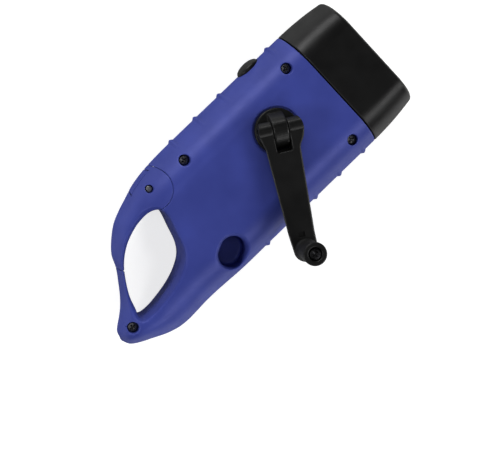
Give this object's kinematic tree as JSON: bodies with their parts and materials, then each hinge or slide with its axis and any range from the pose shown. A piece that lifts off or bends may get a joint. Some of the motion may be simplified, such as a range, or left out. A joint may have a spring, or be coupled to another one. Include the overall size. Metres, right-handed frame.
{
  "type": "hand crank torch",
  "caption": "Hand crank torch with a folding crank, a geared generator, cells, a lamp head and a carabiner loop with a sprung gate in the tail.",
  "frame": {"origin": "on the flat back of the housing, under the crank's axis line along the housing and on its middle line across", "axes": "+Z out of the crank side, +Y towards the lamp, +X to the right seen from the crank side with the lamp up"},
  "size_m": [0.0633, 0.1346, 0.0551],
  "materials": {
    "blue_housing": "blue satin ABS",
    "black_plastic": "black satin ABS",
    "steel_pins": "plated steel",
    "cell_cans": "nickel-plated cans",
    "bearing_brass": "turned brass",
    "gear_nylon": "natural nylon",
    "reflector_chrome": "vacuum-metallised plastic",
    "lens_clear": "clear acrylic",
    "board_green": "glass-epoxy board",
    "magnet_ferrite": "sintered ferrite",
    "coil_copper": "enamelled copper wire, lacquered",
    "led_epoxy": "clear epoxy"
  },
  "bodies": {
    "housing": {"front_shell": "blue_housing", "back_shell": "blue_housing", "shell_screw_1": "steel_pins", "shell_screw_2": "steel_pins", "shell_screw_3": "steel_pins", "shell_screw_4": "steel_pins", "gate_pin": "steel_pins", "gate_spring": "steel_pins", "head_bezel": "black_plastic", "lens": "lens_clear", "reflector": "reflector_chrome", "led_board": "board_green", "led_left": "led_epoxy", "led_middle": "led_epoxy", "led_right": "led_epoxy", "switch_body": "black_plastic", "main_board": "board_green", "capacitor": "black_plastic", "diode_1": "black_plastic", "diode_2": "black_plastic", "diode_3": "black_plastic", "diode_4": "black_plastic", "cell_1": "cell_cans", "cell_2": "cell_cans", "cell_3": "cell_cans", "battery_cradle": "black_plastic", "idler_axle_a": "steel_pins", "idler_axle_b": "steel_pins", "gear_plate": "gear_nylon", "gear_plate_screw_1": "steel_pins", "gear_plate_screw_2": "steel_pins", "gear_plate_screw_3": "steel_pins", "stator_cup": "steel_pins", "stator_lid": "steel_pins", "coil_bobbin": "gear_nylon", "coil_winding": "coil_copper", "crank_bush": "bearing_brass"},
    "crank": {"crank_hub": "black_plastic", "hinge_pin": "steel_pins", "crank_screw": "steel_pins", "crank_gear": "gear_nylon"},
    "crank_arm": {"crank_arm": "black_plastic", "knob_screw": "steel_pins"},
    "knob": {"crank_knob": "black_plastic"},
    "gate": {"carabiner_gate": "blue_housing"},
    "switch": {"switch_button": "black_plastic", "switch_plunger": "gear_nylon"},
    "idler_a": {"idler_gear_a": "gear_nylon"},
    "idler_b": {"idler_gear_b": "gear_nylon"},
    "rotor": {"rotor_shaft": "steel_pins", "rotor_pinion": "gear_nylon", "rotor_magnet": "magnet_ferrite"}
  },
  "joints": [
    {"name": "crank_spin", "type": "hinge", "parent": "housing", "child": "crank", "pos_m": [-0.004, 0, 0.032], "axis": [0, 0, 1], "continuous": true},
    {"name": "arm_fold", "type": "hinge", "parent": "crank", "child": "crank_arm", "pos_m": [-0.00486, 0.00052, 0.0365], "axis": [-0.515, -0.8572, 0], "range_deg": [0, 180]},
    {"name": "knob_spin", "type": "hinge", "parent": "crank_arm", "child": "knob", "pos_m": [0.032, -0.02163, 0.04], "axis": [0, 0, 1], "continuous": true},
    {"name": "gate_open", "type": "hinge", "parent": "housing", "child": "gate", "pos_m": [-0.0196, -0.04579, 0.016], "axis": [0, 0, 1], "range_deg": [0, 18], "stiffness_Nm_per_rad": 0.2, "springref_deg": -8.59},
    {"name": "switch_press", "type": "slide", "parent": "housing", "child": "switch", "axis": [1, 0, 0], "range_m": [0, 0.001], "stiffness_N_per_m": 1000, "springref_m": -0.0005},
    {"name": "idler_a_spin", "type": "hinge", "parent": "housing", "child": "idler_a", "pos_m": [0.00757, -0.01379, 0.021], "axis": [0, 0, 1], "continuous": true},
    {"name": "idler_b_spin", "type": "hinge", "parent": "housing", "child": "idler_b", "pos_m": [0.01106, -0.00075, 0.017], "axis": [0, 0, 1], "continuous": true},
    {"name": "rotor_spin", "type": "hinge", "parent": "housing", "child": "rotor", "pos_m": [0.00258, 0.00774, 0.008], "axis": [0, 0, 1], "continuous": true}
  ],
  "couplings": [
    {"joint": "idler_a_spin", "follows": "crank_spin", "ratio": -4},
    {"joint": "idler_b_spin", "follows": "crank_spin", "ratio": 14},
    {"joint": "rotor_spin", "follows": "crank_spin", "ratio": -42}
  ]
}
